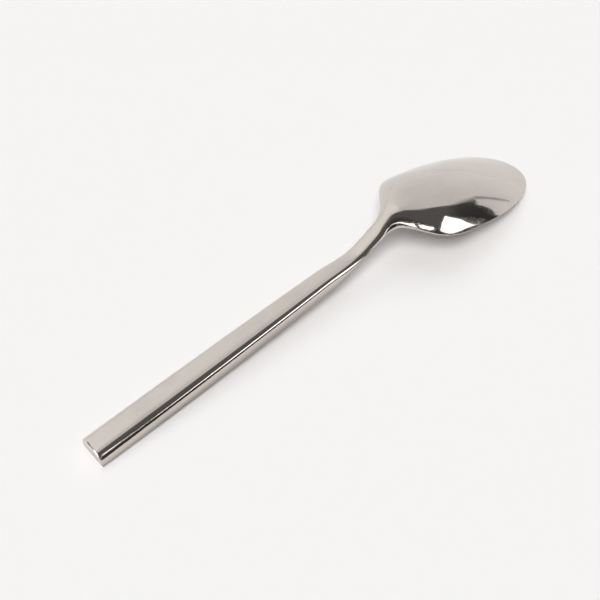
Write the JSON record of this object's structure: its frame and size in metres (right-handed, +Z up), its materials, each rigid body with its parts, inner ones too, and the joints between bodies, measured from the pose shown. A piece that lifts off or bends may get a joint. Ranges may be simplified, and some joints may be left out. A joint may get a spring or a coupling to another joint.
{
  "type": "teaspoon",
  "caption": "Polished steel teaspoon lying face down: thin egg-shaped bowl on a slim bent neck, joined to a thick straight bar handle that narrows towards the neck.",
  "frame": {"origin": "centre of the bottom of the bounding box, on the table under the middle of the spoon", "axes": "+X along the spoon from the handle's free end to the bowl's tip, +Y across it, +Z up; the spoon lies face down, on the handle's end and the bowl's tip"},
  "size_m": [0.137, 0.0258, 0.0177],
  "materials": {
    "bowl_steel": "polished stainless steel with fine wear",
    "handle_steel": "polished stainless steel with fine wear"
  },
  "bodies": {
    "root": {"bowl": "bowl_steel", "handle": "handle_steel"}
  },
  "joints": []
}
